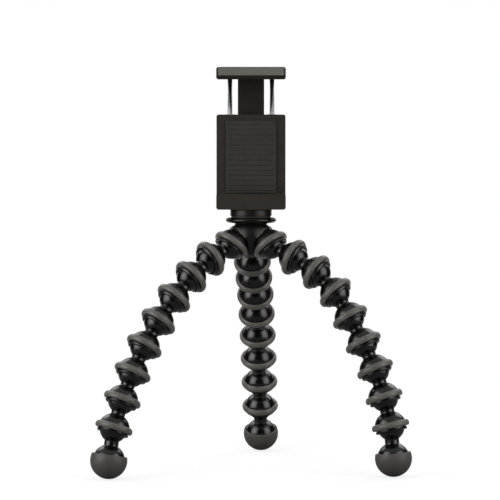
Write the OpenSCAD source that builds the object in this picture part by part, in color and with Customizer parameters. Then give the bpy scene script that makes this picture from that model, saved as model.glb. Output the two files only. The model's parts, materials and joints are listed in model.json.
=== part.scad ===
// Small tripod with three flexible legs and a spring clamp for a phone.
// Millimetres. The origin is on the floor under the middle of the hub, +Z is up and -Y is the front.

/* [Leg links] */
// Distance from the ball centre of one link to the ball centre of the next
link_pitch = 18.3; // [18:0.1:20]
// Radius of the ball at the top of each link
ball_r = 8.65; // [8.3:0.05:8.7]
// Gap between a ball and the cup around it
ball_clearance = 0.1; // [0.05:0.01:0.15]
// Wall of the cup at the bottom of each link
cup_wall = 1.4; // [1.2:0.05:1.5]
// Radius of the neck between ball and cup
neck_r = 4.5; // [3.8:0.1:4.7]
// Height of the rubber ring round a cup
grip_h = 3.6; // [3:0.05:3.8]
// How far the rubber ring stands out from the cup
grip_proud = 1.85; // [1.2:0.05:1.9]
// Distance of the ring's middle above the cup's centre
grip_rise = 0.7; // [0.5:0.1:0.9]
// Depth of the seat that the ring is stretched into
grip_seat = 0.5; // [0.35:0.05:0.5]
// Bulge radius of the ring's outer face
grip_round_r = 3; // [2.5:0.1:5]
// Open groove between the ring and the lip of the cup
groove_h = 0.8; // [0.6:0.05:1]
// Height of the lip that keeps the next ball in
lip_h = 1.35; // [1.2:0.05:1.6]
// Bulge radius of the lip's outer face
lip_round_r = 1.2; // [1:0.1:2]
// Chamfer round the mouth of a cup
mouth_cut = 0.7; // [0.4:0.1:0.8]

/* [Feet] */
// Distance from the last ball centre to the centre of the foot
foot_pitch = 19.7; // [19:0.1:21]
// Outer radius of the rubber foot
foot_r = 11.6; // [11:0.1:12.5]
// Thickness of the rubber foot
foot_wall = 1.35; // [1.1:0.05:1.8]
// Height of the rubber's rim above the centre of the foot
foot_rim_rise = 3.5; // [2:0.1:4.5]

/* [Hub] */
// Distance of each leg socket from the hub's axis
socket_spread = 14.7; // [14.6:0.1:16]
// Lean of the sockets from straight down
socket_lean = 40; // [38:1:44]
// Outer wall added to a socket's dome in the hub
hub_dome_wall = 0.2; // [0.1:0.05:0.5]
// Radius of the neck on top of the hub
hub_neck_r = 10.25; // [9:0.25:11]
// Height of the straight part of the neck
hub_neck_h = 0.8; // [0.4:0.1:1.5]
// Top of the neck above the socket centres
neck_rise = 13.7; // [13:0.1:15]
// Largest radius of the hub's core
hub_core_r = 13.9; // [13:0.1:14.2]
// Height of that radius above the socket centres
hub_waist_rise = 10.2; // [8:0.1:10.6]
// How far the edge of the hub's shoulder lies inside that radius
hub_shoulder_cut = 0.9; // [0.5:0.1:1.2]
// Drop of the flare from the neck to that edge
hub_shoulder_h = 1.5; // [1.2:0.1:2]
// Radius at the flat bottom of the core
hub_foot_r = 9.6; // [8.5:0.1:11]
// Bottom of the core below the socket centres
hub_foot_drop = 6.2; // [5:0.1:7]
// Gap between the hub's core and the rings of its sockets
core_gap = 0.35; // [0.2:0.05:0.6]
// Width of the shield on the front of the hub
shield_w = 23.2; // [20:0.2:24]
// Width of the groove between the shield and the domes beside it
shield_groove_w = 0.8; // [0.4:0.1:1]
// Depth of that groove
shield_groove_d = 1.4; // [0.8:0.1:1.8]

/* [Mounting screw and lock ring] */
// Radius of the camera screw
stud_r = 3.175; // [3:0.005:3.2]
// Height of the screw above the lock ring
stud_reach = 4.2; // [3.6:0.1:4.3]
// Circumscribed radius of the screw's hexagon head
stud_head_r = 6.4; // [5.5:0.1:6.8]
// Height of that head
stud_head_h = 3; // [2:0.1:3.5]
// Depth of the head below the top of the neck
stud_head_depth = 3.4; // [3:0.1:4]
// Radius of the lock ring's rim
lock_r = 16.15; // [15.2:0.05:18]
// Thickness of the lock ring
lock_h = 4; // [3.4:0.1:5]
// Radius of the round of its rim
lock_rim_r = 1.3; // [0.9:0.05:1.4]

/* [Base] */
// Radius of the round base of the clamp
base_r = 13.2; // [12.5:0.1:14]
// Height of the plastic base
base_h = 4; // [3.8:0.1:4.4]
// Height of the rubber pad under it
base_pad_h = 0.8; // [0.5:0.1:1.2]
// How far the rubber pad lies inside the base's edge
base_pad_inset = 0.6; // [0.3:0.1:1.5]
// Outer radius of the brass insert in the base
insert_r = 4.6; // [4.2:0.1:5.5]

/* [Tilt hinge] */
// Distance of the tilt axis behind the hub's axis
tilt_back = 23; // [22.6:0.1:25]
// Height of the tilt axis above the base
tilt_rise = 8.4; // [8:0.1:10]
// Outer radius of the hinge ears and knuckle
hinge_r = 4.5; // [3.8:0.1:4.8]
// Width of the knuckle on the clamp
knuckle_w = 11.2; // [9:0.1:12]
// How far the flat sides of ears and knuckle lie inside their round ends
hinge_inset = 0.3; // [0.2:0.05:0.5]
// Thickness of each ear
ear_t = 3.3; // [2.6:0.1:4]
// Thickness of the washers between knuckle and ears
washer_t = 0.5; // [0.3:0.1:1]
// Radius of the tilt bolt
bolt_r = 2; // [1.5:0.1:2.4]
// Radius of the bolt's round head
bolt_head_r = 3.6; // [3:0.1:4]
// Height of the bolt's head
bolt_head_h = 2.2; // [1.6:0.1:3]
// Radius of the tilt knob
knob_r = 6.5; // [5.5:0.1:6.8]
// Width of the tilt knob
knob_w = 7; // [5:0.5:9]
// Grip flutes round the knob
knob_flutes = 8; // [6:1:10]
// Radius of each flute
flute_r = 1.3; // [0.8:0.1:1.6]

/* [Phone clamp] */
// Width of both jaws
jaw_w = 44; // [42:1:48]
// Distance of the jaws' front face in front of the hub's axis
jaw_reach = 13; // [11:0.5:15]
// Height of the phone that the clamp holds as shown
phone_h = 79; // [66:1:86]
// Smallest height that the clamp closes to
phone_min = 56; // [52:1:60]
// Largest height that the clamp opens to
phone_max = 91; // [88:1:94]
// Room for the phone's thickness
phone_t = 12.2; // [10:0.1:13]
// Thickness of the jaws' front lips
lip_t = 2.6; // [2:0.1:3.2]
// How far the lower lip stands above its pad
lower_lip_h = 4.3; // [3:0.1:5]
// How far the upper lip hangs below its pad
upper_lip_h = 2.3; // [1.8:0.1:4]
// Height of the bevel along the bottom of the upper lip
lip_bevel_h = 2.6; // [1.5:0.1:3]
// Depth of that bevel
lip_bevel_d = 1.1; // [0.5:0.1:1.6]
// Corner cut on the ends of the jaws
jaw_corner = 1; // [0.5:0.1:1.5]
// Thickness of the lower jaw under its pad
lower_jaw_t = 4.2; // [3.4:0.1:5]
// Thickness of the upper jaw above its pad
upper_jaw_t = 4.1; // [3.6:0.1:5]
// How far the back of the upper jaw hangs below its floor
upper_heel_h = 2.8; // [1.5:0.1:4]
// Thickness of the rubber jaw pads
jaw_pad_t = 1.5; // [1:0.1:2]
// How far the pads lie inside the ends of the jaws
jaw_pad_inset = 1.5; // [1:0.1:3]
// Thickness of the rubber pad behind the phone
back_pad_t = 1; // [0.6:0.1:1.5]
// Width of that pad
back_pad_w = 32; // [26:1:38]
// How far that pad stays below the top of the housing
back_pad_drop = 4; // [2:0.5:8]
// Gap between the base and the clamp above it
base_gap = 0.3; // [0.3:0.1:0.6]

/* [Clamp housing] */
// Depth of the housing behind the phone
housing_d = 11; // [10.8:0.1:12]
// Front and bottom walls of the housing
housing_wall = 2; // [1.6:0.1:2.2]
// Wall on each side of the housing, which the cover screws go into
side_wall = 4; // [3.6:0.1:4.4]
// Thickness of the top wall that guides the rods
guide_wall = 3.2; // [2.6:0.1:3.6]
// Width that the block behind the tongue adds to the knuckle
block_extra_w = 2.8; // [1:0.1:3.4]
// Gap between the tongue and that block
block_gap = 0.7; // [0.5:0.1:1]
// Thickness of the back cover
cover_t = 2; // [1.8:0.1:2.4]
// Radius of the cover screws
screw_r = 1.1; // [0.8:0.1:1.2]
// Length of the cover screws under their heads
screw_l = 7; // [5:0.5:8]
// Radius of the cover screws' heads
screw_head_r = 1.9; // [1.7:0.1:2]
// Height of the cover screws' heads
screw_head_h = 1.1; // [0.8:0.1:1.3]
// Distance of the cover screws from the housing's top and bottom
screw_inset = 4; // [3:0.1:6]

/* [Slide, rods and springs] */
// Gap between the tongue on the upper jaw and the springs beside it
tongue_clear = 2.1; // [1.6:0.1:3]
// Thickness of the tongue
tongue_t = 3; // [2.4:0.1:3.2]
// Distance of the tongue behind the housing's front wall
tongue_gap = 1; // [0.6:0.1:1.2]
// Distance of each guide rod inside the ends of the jaws
rod_inset = 8.6; // [7.8:0.1:9.4]
// Radius of the guide rods
rod_r = 1.5; // [1.2:0.1:1.6]
// Depth of solid plastic above the rods in the upper jaw
rod_cap = 1; // [0.8:0.1:2]
// Outer radius of the rods' bushes
bush_r = 2.5; // [2.2:0.1:2.8]
// Radius of the clips on the rods' lower ends
clip_r = 2.6; // [2.4:0.1:2.9]
// Thickness of those clips
clip_t = 1.2; // [0.8:0.1:1.6]
// Outer radius of the springs round the rods
spring_r = 2.9; // [2.6:0.1:3.1]
// Wire thickness of the springs
spring_wire = 0.7; // [0.5:0.1:0.9]

/* [Lock] */
// Height of the lever's pin below the top of the housing
lever_drop = 12; // [11:0.5:13]
// Distance of the lever's pin behind the back cover
lever_back = 3.2; // [3.1:0.1:3.3]
// Radius of the lever's pin
pin_r = 1.25; // [1:0.05:1.4]
// Radius of the lever's cam
cam_r = 3; // [2.9:0.1:3.1]
// How far the cam's centre lies off the pin
cam_offset = 0.4; // [0.3:0.05:0.4]
// Width of the lever
lever_w = 9.6; // [8:0.1:10]
// Length of the lever below its pin
lever_l = 29; // [22:1:30]
// Thickness of the lever
lever_t = 3; // [2.4:0.1:3.2]
// Thickness of the lever's ears
lever_ear_t = 2; // [1.6:0.1:2.4]
// Radius of the lever's ears
lever_ear_r = 2.8; // [2.4:0.1:3]
// Height of the brake shoe
shoe_h = 8.2; // [6:0.1:9]
// How far the brake shoe is narrower than the lever on each side
shoe_inset = 0.2; // [0.1:0.1:1]

/* [Hidden] */
$fn = 72;

// Clearances, and one overrun for every cut
seat_gap = 0.05;
run_gap = 0.05;
slide_gap = 0.2;
shoe_gap = 0.1;
overrun = 1;

// Legs: 0 is left, 1 is right and 2 is back. Azimuths run from +Y towards +X, leans from straight down.
leg_names = ["left", "right", "back"];
link_count = 8;
socket_azimuths = [-120, 120, 0];
leg_azimuths = [-124, 117, 4];
leg_leans = [
    [63, 52.5, 44, 39, 34.5, 28, 24, 19.5, 10.5],
    [66, 60, 46, 33.5, 30, 26.5, 19.5, 14, 5.5],
    [47.5, 52.5, 49.5, 42.5, 35.5, 30, 25.5, 23, 21]
];
// The back leg's leans set the hub's height. This link of each front leg leans as its foot needs to reach the floor.
level_link = 3;

function total(v) = v * [for (x = v) 1];
function reach(k) = k > link_count ? foot_pitch : link_pitch;
function drop(leg, skip = 0) =
    total([for (k = [1 : link_count + 1]) k == skip ? 0 : reach(k) * cos(leg_leans[leg][k - 1])]);
function lean(leg, k) = k == level_link && leg < 2
    ? acos((drop(2) - drop(leg, level_link)) / link_pitch)
    : leg_leans[leg][k - 1];
function heading(azimuth, tilt) = [sin(tilt) * sin(azimuth), sin(tilt) * cos(azimuth), -cos(tilt)];
function socket_at(leg) =
    [socket_spread * sin(socket_azimuths[leg]), socket_spread * cos(socket_azimuths[leg]), hub_z];
function joint_at(leg, k) = k == 0 ? socket_at(leg)
    : joint_at(leg, k - 1) + reach(k) * heading(leg_azimuths[leg], lean(leg, k));

// Sizes of a cup, measured from its centre with the neck above it
cup_r = ball_r + ball_clearance;
dome_r = cup_r + cup_wall;
grip_r = dome_r + grip_proud;
grip_seat_r = dome_r - grip_seat;
grip_top = grip_rise + grip_h / 2;
grip_bottom = grip_rise - grip_h / 2;
lip_top = grip_bottom - groove_h;
cup_bottom = lip_top - lip_h;
mouth_r = sqrt(cup_r * cup_r - cup_bottom * cup_bottom);
hub_dome_r = dome_r + hub_dome_wall;
foot_core_r = foot_r - foot_wall - seat_gap;

// Heights from the floor up
hub_z = foot_r + drop(2);
neck_top = hub_z + neck_rise;
stud_head_z = neck_top - stud_head_depth - stud_head_h;
lock_z = neck_top + run_gap;
lock_top = lock_z + lock_h;
lock_rim_share = 0.59;
stud_top = lock_top + stud_reach;
base_z = lock_top + run_gap;
base_floor = base_z + base_pad_h;
base_top = base_floor + base_h;
tilt_z = base_top + tilt_rise;
jaw_z = base_top + base_gap;
seat_floor = jaw_z + lower_jaw_t;
seat_z = seat_floor + jaw_pad_t;
lower_lip_z = seat_z + lower_lip_h;
top_seat_z = seat_z + phone_h;
upper_lip_z = top_seat_z - upper_lip_h;
top_floor = top_seat_z + jaw_pad_t;
clamp_top = top_floor + upper_jaw_t;

// Travel of the upper jaw, and the heights that follow from it
jaw_close = phone_h - phone_min;
jaw_open = phone_max - phone_h;
heel_z = top_floor - upper_heel_h;
housing_top = heel_z - jaw_close - slide_gap;
housing_floor = jaw_z + housing_wall;
guide_z = housing_top - guide_wall;
tongue_bottom = housing_floor + jaw_close + slide_gap;
block_top = tilt_z + hinge_r + housing_wall;
lever_z = housing_top - lever_drop;

// Depths from the front back
jaw_front = -jaw_reach;
lip_back = jaw_front + lip_t;
phone_back = lip_back + phone_t;
housing_front = phone_back + back_pad_t;
cavity_front = housing_front + housing_wall;
housing_back = housing_front + housing_d;
cover_back = housing_back + cover_t;
tongue_front = cavity_front + tongue_gap;
tongue_back = tongue_front + tongue_t;
rod_y = (cavity_front + housing_back) / 2;
lever_y = cover_back + lever_back;
shoe_front = tongue_back + shoe_gap;
shoe_back = lever_y - cam_offset - cam_r - shoe_gap;

// Half widths
jaw_half = jaw_w / 2;
cavity_half = jaw_half - side_wall;
rod_x = jaw_half - rod_inset;
tongue_w = 2 * (rod_x - spring_r - tongue_clear);
screw_x = jaw_half - side_wall / 2;
ear_inner = knuckle_w / 2 + washer_t + 2 * run_gap;
ear_outer = ear_inner + ear_t;
lever_ear_inner = lever_w / 2 + slide_gap;
lever_ear_outer = lever_ear_inner + lever_ear_t;

// A box between two corners
module box(low, high) translate(low) cube(high - low);

// A cylinder along X between two places
module bar_x(r, from, to, at) translate([from, at[0], at[1]]) rotate([0, 90, 0]) cylinder(r = r, h = to - from);

// A cylinder along Y between two places
module bar_y(r, from, to, at) translate([at[0], to, at[1]]) rotate([90, 0, 0]) cylinder(r = r, h = to - from);

// A bar as wide as the jaws, with its lower and upper corners cut
module jaw_bar(low, high, from, to, low_cut, high_cut)
    translate([0, to, 0]) rotate([90, 0, 0]) linear_extrude(to - from) polygon([
        [-jaw_half, low + low_cut], [-jaw_half + low_cut, low],
        [jaw_half - low_cut, low], [jaw_half, low + low_cut],
        [jaw_half, high - high_cut], [jaw_half - high_cut, high],
        [-jaw_half + high_cut, high], [-jaw_half, high - high_cut]
    ]);

// Places children at joint k of a leg, with -Z along the link that hangs there
module at_joint(leg, k)
    translate(joint_at(leg, k)) rotate([0, 0, -leg_azimuths[leg]]) rotate([lean(leg, k + 1), 0, 0]) children();

// Places children at each socket of the hub, with -Z out of the socket
module at_sockets()
    for (leg = [0 : 2])
        translate(socket_at(leg)) rotate([0, 0, -socket_azimuths[leg]]) rotate([socket_lean, 0, 0]) children();

// The part of a dome above the rubber ring
module dome(r) intersection() {
    sphere(r = r);
    translate([0, 0, grip_top + seat_gap]) cylinder(r = r + overrun, h = r);
}

// Wall under the rubber ring, and the rounded lip at the mouth
module cup_rim() {
    translate([0, 0, lip_top - lip_h / 2]) cylinder(r = grip_seat_r, h = grip_top - lip_top + lip_h / 2 + grip_seat);
    translate([0, 0, lip_top - lip_h / 2]) rotate_extrude() intersection() {
        translate([dome_r - lip_round_r, 0]) circle(r = lip_round_r);
        translate([0, -lip_h / 2]) square([dome_r + overrun, lip_h]);
    }
}

// The hollow of a cup, with the chamfer round its mouth
module cup_hollow() {
    sphere(r = cup_r);
    translate([0, 0, cup_bottom - overrun])
        cylinder(r1 = mouth_r + mouth_cut + overrun, r2 = mouth_r, h = mouth_cut + overrun);
}

// The rubber ring round a cup
module grip_ring() color("#4c4a46")
    translate([0, 0, grip_rise]) rotate_extrude() intersection() {
        translate([grip_r - grip_round_r, 0]) circle(r = grip_round_r);
        translate([grip_seat_r + seat_gap, -grip_h / 2]) square([grip_r, grip_h]);
    }

// Ball and neck at the top of a link, whose next centre lies below by length
module ball_and_neck(length) {
    sphere(r = ball_r);
    translate([0, 0, -length + cup_r]) cylinder(r = neck_r, h = length - cup_r);
}

// One link: ball, neck and cup in one moulding, with its rubber ring as a second solid
module link() {
    color("#161616") difference() {
        union() {
            ball_and_neck(link_pitch);
            translate([0, 0, -link_pitch]) { dome(dome_r); cup_rim(); }
        }
        translate([0, 0, -link_pitch]) cup_hollow();
    }
    translate([0, 0, -link_pitch]) grip_ring();
}

module foot_core() color("#161616") {
    ball_and_neck(foot_pitch);
    translate([0, 0, -foot_pitch]) sphere(r = foot_core_r);
}

module foot_pad() color("#45433f")
    translate([0, 0, -foot_pitch]) difference() {
        sphere(r = foot_r);
        sphere(r = foot_core_r + seat_gap);
        translate([0, 0, foot_rim_rise]) cylinder(r = foot_r + overrun, h = foot_r);
    }

// Turned outline of the hub's core, from its flat bottom to the neck, or the same with less radius
module hub_core(less = 0) {
    shoulder_r = hub_core_r - hub_shoulder_cut;
    rotate_extrude() polygon([
        [0, hub_z - hub_foot_drop], [hub_foot_r - less, hub_z - hub_foot_drop],
        [hub_core_r - less, hub_z + hub_waist_rise],
        [shoulder_r - less, neck_top - hub_neck_h - hub_shoulder_h],
        [hub_neck_r - less, neck_top - hub_neck_h], [hub_neck_r - less, neck_top], [0, neck_top]
    ]);
}

// The part of the core in front that the groove beside each dome takes away
module shield_groove() intersection() {
    at_sockets() sphere(r = hub_dome_r + shield_groove_w);
    box([-shield_w / 2, -2 * hub_core_r, hub_z - 2 * hub_foot_drop], [shield_w / 2, 0, neck_top]);
}

module hub() color("#181818") difference() {
    union() {
        difference() {
            union() {
                difference() {
                    hub_core();
                    shield_groove();
                }
                hub_core(shield_groove_d);
                at_sockets() sphere(r = hub_dome_r);
            }
            at_sockets() translate([0, 0, grip_top + seat_gap - 2 * grip_r])
                cylinder(r = grip_r + core_gap, h = 2 * grip_r);
        }
        at_sockets() cup_rim();
    }
    at_sockets() cup_hollow();
    screw_shape(seat_gap, neck_top + overrun);
}

module hub_grip_rings() at_sockets() grip_ring();

// Camera screw with its hexagon head, grown by a gap for the pocket in the hub
module screw_shape(gap, top) {
    translate([0, 0, stud_head_z - gap]) cylinder(r = stud_head_r + gap, h = stud_head_h + 2 * gap, $fn = 6);
    translate([0, 0, stud_head_z]) cylinder(r = stud_r + gap, h = top - stud_head_z);
}

module mount_screw() color("#b9b9bb") screw_shape(0, stud_top);

module lock_ring() color("#131313") rotate_extrude() {
    rim_z = lock_z + lock_rim_share * lock_h;
    translate([lock_r - lock_rim_r, rim_z]) circle(r = lock_rim_r);
    polygon([
        [stud_r + run_gap, lock_z], [hub_neck_r + run_gap, lock_z],
        [lock_r - lock_rim_r, rim_z - lock_rim_r + run_gap],
        [lock_r - lock_rim_r, rim_z + lock_rim_r - run_gap],
        [base_r, lock_top], [stud_r + run_gap, lock_top]
    ]);
}

module base() color("#1b1a19") difference() {
    union() {
        translate([0, 0, base_floor]) cylinder(r = base_r, h = base_h);
        box([-ear_outer, 0, base_floor], [ear_outer, tilt_back + hinge_r - hinge_inset, base_top]);
        for (side = [-1, 1]) mirror([side < 0 ? 1 : 0, 0, 0]) {
            box([ear_inner, tilt_back - hinge_r + hinge_inset, base_floor],
                [ear_outer, tilt_back + hinge_r - hinge_inset, tilt_z]);
            bar_x(hinge_r, ear_inner, ear_outer, [tilt_back, tilt_z]);
        }
    }
    translate([0, 0, base_floor - overrun]) cylinder(r = insert_r + seat_gap, h = stud_top + run_gap - base_floor + overrun);
    bar_x(bolt_r + seat_gap, -ear_outer - overrun, ear_outer + overrun, [tilt_back, tilt_z]);
}

module base_insert() color("#b08d4a") translate([0, 0, base_floor]) difference() {
    cylinder(r = insert_r, h = stud_top - base_floor);
    translate([0, 0, -overrun]) cylinder(r = stud_r + run_gap, h = stud_top - base_floor + 2 * overrun);
}

module base_pad() color("#2a2927") translate([0, 0, base_z]) difference() {
    cylinder(r = base_r - base_pad_inset, h = base_pad_h);
    translate([0, 0, -overrun]) cylinder(r = insert_r, h = base_pad_h + 2 * overrun);
}

module tilt_bolt() color("#8d8d90") {
    bar_x(bolt_head_r, -ear_outer - bolt_head_h, -ear_outer, [tilt_back, tilt_z]);
    bar_x(bolt_r, -ear_outer - bolt_head_h / 2, ear_outer + slide_gap + knob_w / 2, [tilt_back, tilt_z]);
}

module tilt_washers() color("#9a9a9c") for (side = [-1, 1]) mirror([side < 0 ? 1 : 0, 0, 0]) difference() {
    bar_x(hinge_r - hinge_inset, knuckle_w / 2 + run_gap, knuckle_w / 2 + run_gap + washer_t, [tilt_back, tilt_z]);
    bar_x(bolt_r + seat_gap, knuckle_w / 2 - overrun, ear_outer, [tilt_back, tilt_z]);
}

module tilt_knob() color("#1a1a1a") difference() {
    from = ear_outer + slide_gap;
    bar_x(knob_r, from, from + knob_w, [tilt_back, tilt_z]);
    bar_x(bolt_r + run_gap, from - overrun, from + knob_w / 2 + run_gap, [tilt_back, tilt_z]);
    for (turn = [0 : knob_flutes - 1])
        bar_x(flute_r, from - overrun, from + knob_w + overrun,
            [tilt_back + knob_r * cos(360 * turn / knob_flutes), tilt_z + knob_r * sin(360 * turn / knob_flutes)]);
}

// Places of the back cover's screws
module at_cover_screws()
    for (x = [-screw_x, screw_x], z = [jaw_z + screw_inset, housing_top - screw_inset]) translate([x, 0, z]) children();

// One of those screws, or with a gap and an overrun the hole for it
module cover_screw(gap = 0, out = 0) {
    bar_y(screw_head_r + gap, cover_back - screw_head_h, cover_back + out, [0, 0]);
    bar_y(screw_r + gap, cover_back - screw_head_h - screw_l - gap, cover_back + out, [0, 0]);
}

module cover_screws() color("#77777a") at_cover_screws() cover_screw();

// Housing, lower jaw and hinge knuckle in one moulding, open at the back
module clamp_housing() color("#2b2926") difference() {
    union() {
        difference() {
            jaw_bar(jaw_z, housing_top, housing_front, housing_back, jaw_corner, jaw_corner);
            box([-cavity_half, cavity_front, housing_floor], [cavity_half, housing_back + overrun, guide_z]);
        }
        jaw_bar(jaw_z, lower_lip_z, jaw_front, lip_back, jaw_corner, jaw_corner);
        jaw_bar(jaw_z, seat_floor, lip_back - seat_gap, housing_front + seat_gap, jaw_corner, 0);
        box([-(knuckle_w + block_extra_w) / 2, tongue_back + block_gap, housing_floor - seat_gap],
            [(knuckle_w + block_extra_w) / 2, housing_back, block_top]);
        box([-knuckle_w / 2, housing_back - seat_gap, tilt_z - hinge_r + hinge_inset],
            [knuckle_w / 2, tilt_back, tilt_z + hinge_r - hinge_inset]);
        bar_x(hinge_r, -knuckle_w / 2, knuckle_w / 2, [tilt_back, tilt_z]);
    }
    bar_x(bolt_r + run_gap, -knuckle_w, knuckle_w, [tilt_back, tilt_z]);
    box([-tongue_w / 2 - slide_gap, tongue_front - slide_gap, guide_z - overrun],
        [tongue_w / 2 + slide_gap, tongue_back + slide_gap, housing_top + overrun]);
    for (x = [-rod_x, rod_x]) translate([x, rod_y, guide_z - overrun])
        cylinder(r = bush_r + seat_gap, h = guide_wall + 2 * overrun);
    at_cover_screws() cover_screw(seat_gap, overrun);
}

module back_cover() color("#201f1d") difference() {
    union() {
        jaw_bar(jaw_z, housing_top, housing_back, cover_back, jaw_corner, jaw_corner);
        for (side = [-1, 1]) mirror([side < 0 ? 1 : 0, 0, 0]) {
            box([lever_ear_inner, cover_back - seat_gap, lever_z - lever_ear_r + hinge_inset],
                [lever_ear_outer, lever_y, lever_z + lever_ear_r - hinge_inset]);
            bar_x(lever_ear_r, lever_ear_inner, lever_ear_outer, [lever_y, lever_z]);
        }
    }
    box([-knuckle_w / 2 - slide_gap, housing_back - overrun, jaw_z - overrun],
        [knuckle_w / 2 + slide_gap, cover_back + overrun, tilt_z + hinge_r + slide_gap]);
    box([-lever_ear_inner + run_gap, housing_back - overrun, lever_z - shoe_h / 2 - slide_gap],
        [lever_ear_inner - run_gap, cover_back + overrun, lever_z + shoe_h / 2 + slide_gap]);
    bar_x(pin_r + seat_gap, -lever_ear_outer - overrun, lever_ear_outer + overrun, [lever_y, lever_z]);
    at_cover_screws() cover_screw(seat_gap, overrun);
}

module lower_jaw_pad() color("#3a3833")
    box([-jaw_half + jaw_pad_inset, lip_back + slide_gap, seat_floor],
        [jaw_half - jaw_pad_inset, phone_back - slide_gap, seat_z]);

module upper_jaw_pad() color("#3a3833")
    box([-jaw_half + jaw_pad_inset, lip_back + slide_gap, top_seat_z],
        [jaw_half - jaw_pad_inset, phone_back - slide_gap, top_floor]);

module back_pad() color("#3a3833")
    box([-back_pad_w / 2, phone_back, lower_lip_z + slide_gap], [back_pad_w / 2, housing_front, housing_top - back_pad_drop]);

module rod_bushes() color("#c9c6bc") for (x = [-rod_x, rod_x]) translate([x, rod_y, guide_z]) difference() {
    cylinder(r = bush_r, h = guide_wall);
    translate([0, 0, -overrun]) cylinder(r = rod_r + run_gap, h = guide_wall + 2 * overrun);
}

// Upper jaw: lip with its bevel, bridge over the housing, heel and tongue in one moulding
module upper_jaw() color("#3b3834") difference() {
    union() {
        jaw_bar(upper_lip_z, clamp_top, jaw_front, lip_back, jaw_corner, jaw_corner);
        jaw_bar(top_floor, clamp_top, lip_back - seat_gap, housing_back, 0, jaw_corner);
        jaw_bar(heel_z, top_floor + seat_gap, housing_front, housing_back, jaw_corner, 0);
        box([-tongue_w / 2, tongue_front, tongue_bottom], [tongue_w / 2, tongue_back, top_floor]);
    }
    translate([-jaw_w, 0, 0]) rotate([90, 0, 90]) linear_extrude(2 * jaw_w) polygon([
        [jaw_front - lip_bevel_d, upper_lip_z + 2 * lip_bevel_h],
        [jaw_front + 2 * lip_bevel_d, upper_lip_z - lip_bevel_h],
        [jaw_front - lip_bevel_d, upper_lip_z - lip_bevel_h]
    ]);
    for (x = [-rod_x, rod_x]) translate([x, rod_y, heel_z - overrun])
        cylinder(r = rod_r + seat_gap, h = clamp_top - rod_cap - heel_z + overrun);
}

module guide_rods() color("#a5a5a8") for (x = [-rod_x, rod_x]) translate([x, rod_y, tongue_bottom])
    cylinder(r = rod_r, h = clamp_top - rod_cap - seat_gap - tongue_bottom);

module rod_clips() color("#8a8a8c") for (x = [-rod_x, rod_x]) translate([x, rod_y, tongue_bottom]) difference() {
    cylinder(r = clip_r, h = clip_t);
    translate([0, 0, -overrun]) cylinder(r = rod_r + seat_gap, h = clip_t + 2 * overrun);
}

module jaw_springs() color("#9c9c9e") for (x = [-rod_x, rod_x]) translate([x, rod_y, tongue_bottom + clip_t + seat_gap]) difference() {
    length = guide_z - tongue_bottom - clip_t - 2 * seat_gap;
    cylinder(r = spring_r, h = length);
    translate([0, 0, -overrun]) cylinder(r = spring_r - spring_wire, h = length + 2 * overrun);
}

module brake_shoe() color("#5a5a5c")
    box([-lever_w / 2 + shoe_inset, shoe_front, lever_z - shoe_h / 2], [lever_w / 2 - shoe_inset, shoe_back, lever_z + shoe_h / 2]);

module lock_lever() color("#1c1c1c") difference() {
    union() {
        bar_x(cam_r, -lever_w / 2, lever_w / 2, [lever_y - cam_offset, lever_z]);
        box([-lever_w / 2, lever_y - lever_t / 2, lever_z - lever_l], [lever_w / 2, lever_y + lever_t / 2, lever_z]);
    }
    bar_x(pin_r + run_gap, -lever_w, lever_w, [lever_y, lever_z]);
}

module lever_pin() color("#a5a5a8") bar_x(pin_r, -lever_ear_outer, lever_ear_outer, [lever_y, lever_z]);

hub();
hub_grip_rings();
mount_screw();
lock_ring();
base();
base_insert();
base_pad();
tilt_bolt();
tilt_washers();
tilt_knob();
clamp_housing();
back_cover();
cover_screws();
lower_jaw_pad();
back_pad();
rod_bushes();
upper_jaw();
upper_jaw_pad();
guide_rods();
rod_clips();
jaw_springs();
brake_shoe();
lock_lever();
lever_pin();
for (leg = [0 : 2], k = [1 : link_count])
    at_joint(leg, k - 1) link();
for (leg = [0 : 2])
    at_joint(leg, link_count) foot_core();
for (leg = [0 : 2])
    at_joint(leg, link_count) foot_pad();
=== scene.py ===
import json
import math

import bmesh
import bpy
import numpy as np
from mathutils import Matrix, Vector
from mathutils.bvhtree import BVHTree


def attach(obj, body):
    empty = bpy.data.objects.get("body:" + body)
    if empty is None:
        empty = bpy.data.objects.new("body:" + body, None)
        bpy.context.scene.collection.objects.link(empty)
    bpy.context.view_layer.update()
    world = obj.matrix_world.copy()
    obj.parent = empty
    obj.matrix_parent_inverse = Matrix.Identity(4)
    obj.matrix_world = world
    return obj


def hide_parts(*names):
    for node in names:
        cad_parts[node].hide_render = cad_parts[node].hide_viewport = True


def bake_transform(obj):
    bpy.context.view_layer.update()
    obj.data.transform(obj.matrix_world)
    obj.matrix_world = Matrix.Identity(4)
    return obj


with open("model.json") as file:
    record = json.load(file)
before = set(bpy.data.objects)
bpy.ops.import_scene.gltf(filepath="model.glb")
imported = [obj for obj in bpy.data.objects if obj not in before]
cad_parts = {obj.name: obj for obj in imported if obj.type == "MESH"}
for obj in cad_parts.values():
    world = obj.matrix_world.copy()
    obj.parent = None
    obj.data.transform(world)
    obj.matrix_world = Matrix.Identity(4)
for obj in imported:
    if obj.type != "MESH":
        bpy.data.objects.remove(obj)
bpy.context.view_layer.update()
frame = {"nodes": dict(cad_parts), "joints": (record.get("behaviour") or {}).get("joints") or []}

# Leg links
# A leg is a chain of links moulded in black ABS. Each has a ball at its top, a short neck and a cup that
# snaps over the next ball, and a ring of soft grey rubber is stretched into a seat round the cup.

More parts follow.
